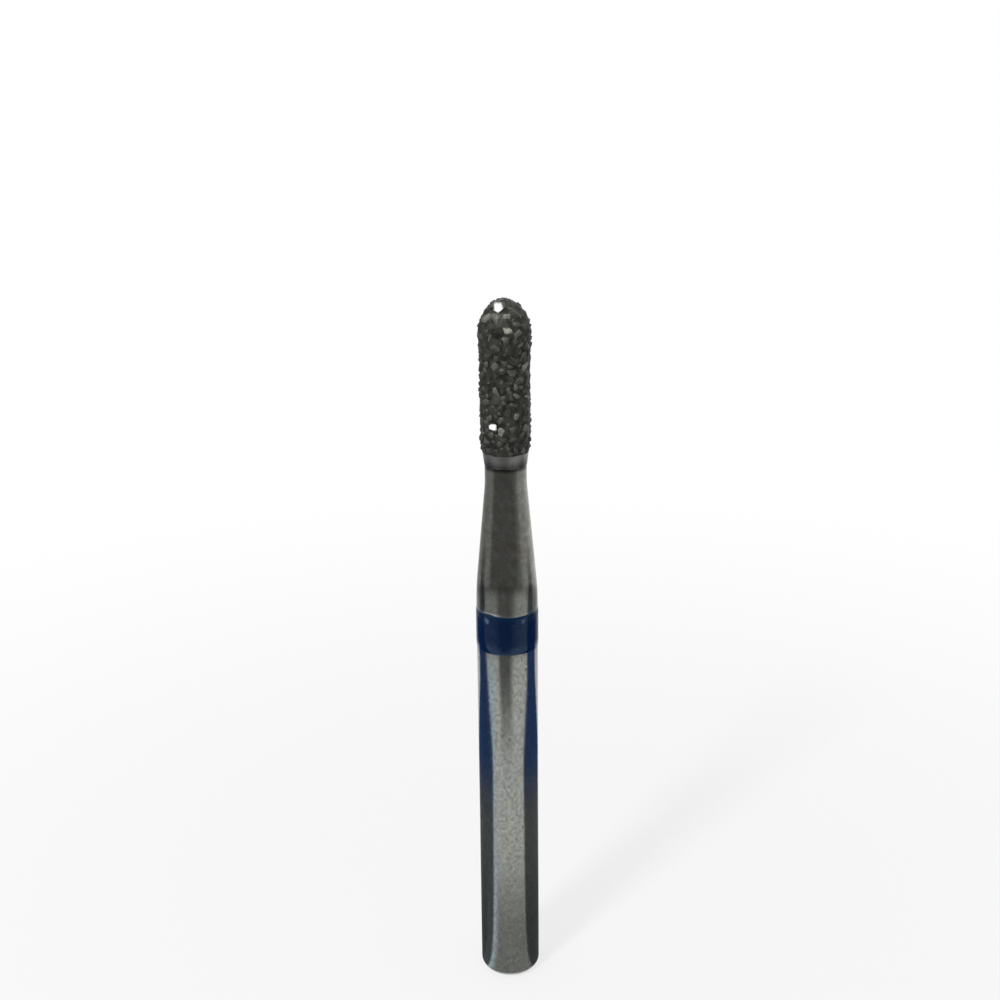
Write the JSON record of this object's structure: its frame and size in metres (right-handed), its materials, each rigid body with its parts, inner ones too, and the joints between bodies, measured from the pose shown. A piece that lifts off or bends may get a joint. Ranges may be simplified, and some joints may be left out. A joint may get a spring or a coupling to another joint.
{
  "type": "dental bur",
  "caption": "Slim rotary cutter: a round-ended head coated in diamond grit on a tapered steel neck, with a dark blue colour ring and a plain straight shank for a push-in chuck.",
  "frame": {"origin": "centre of the flat end face of the shank", "axes": "+Z along the bur's axis, from the shank's end to the round tip of the head"},
  "size_m": [0.0016, 0.0016, 0.019],
  "materials": {
    "steel": "ground and polished stainless steel with fine marks round the axis",
    "diamond_grit": "coarse dark grey diamond grit in plated metal, with glints on some facets",
    "blue_lacquer": "glossy dark blue lacquer"
  },
  "bodies": {
    "root": {"steel_blank": "steel", "diamond_coat": "diamond_grit", "colour_band": "blue_lacquer"}
  },
  "joints": []
}
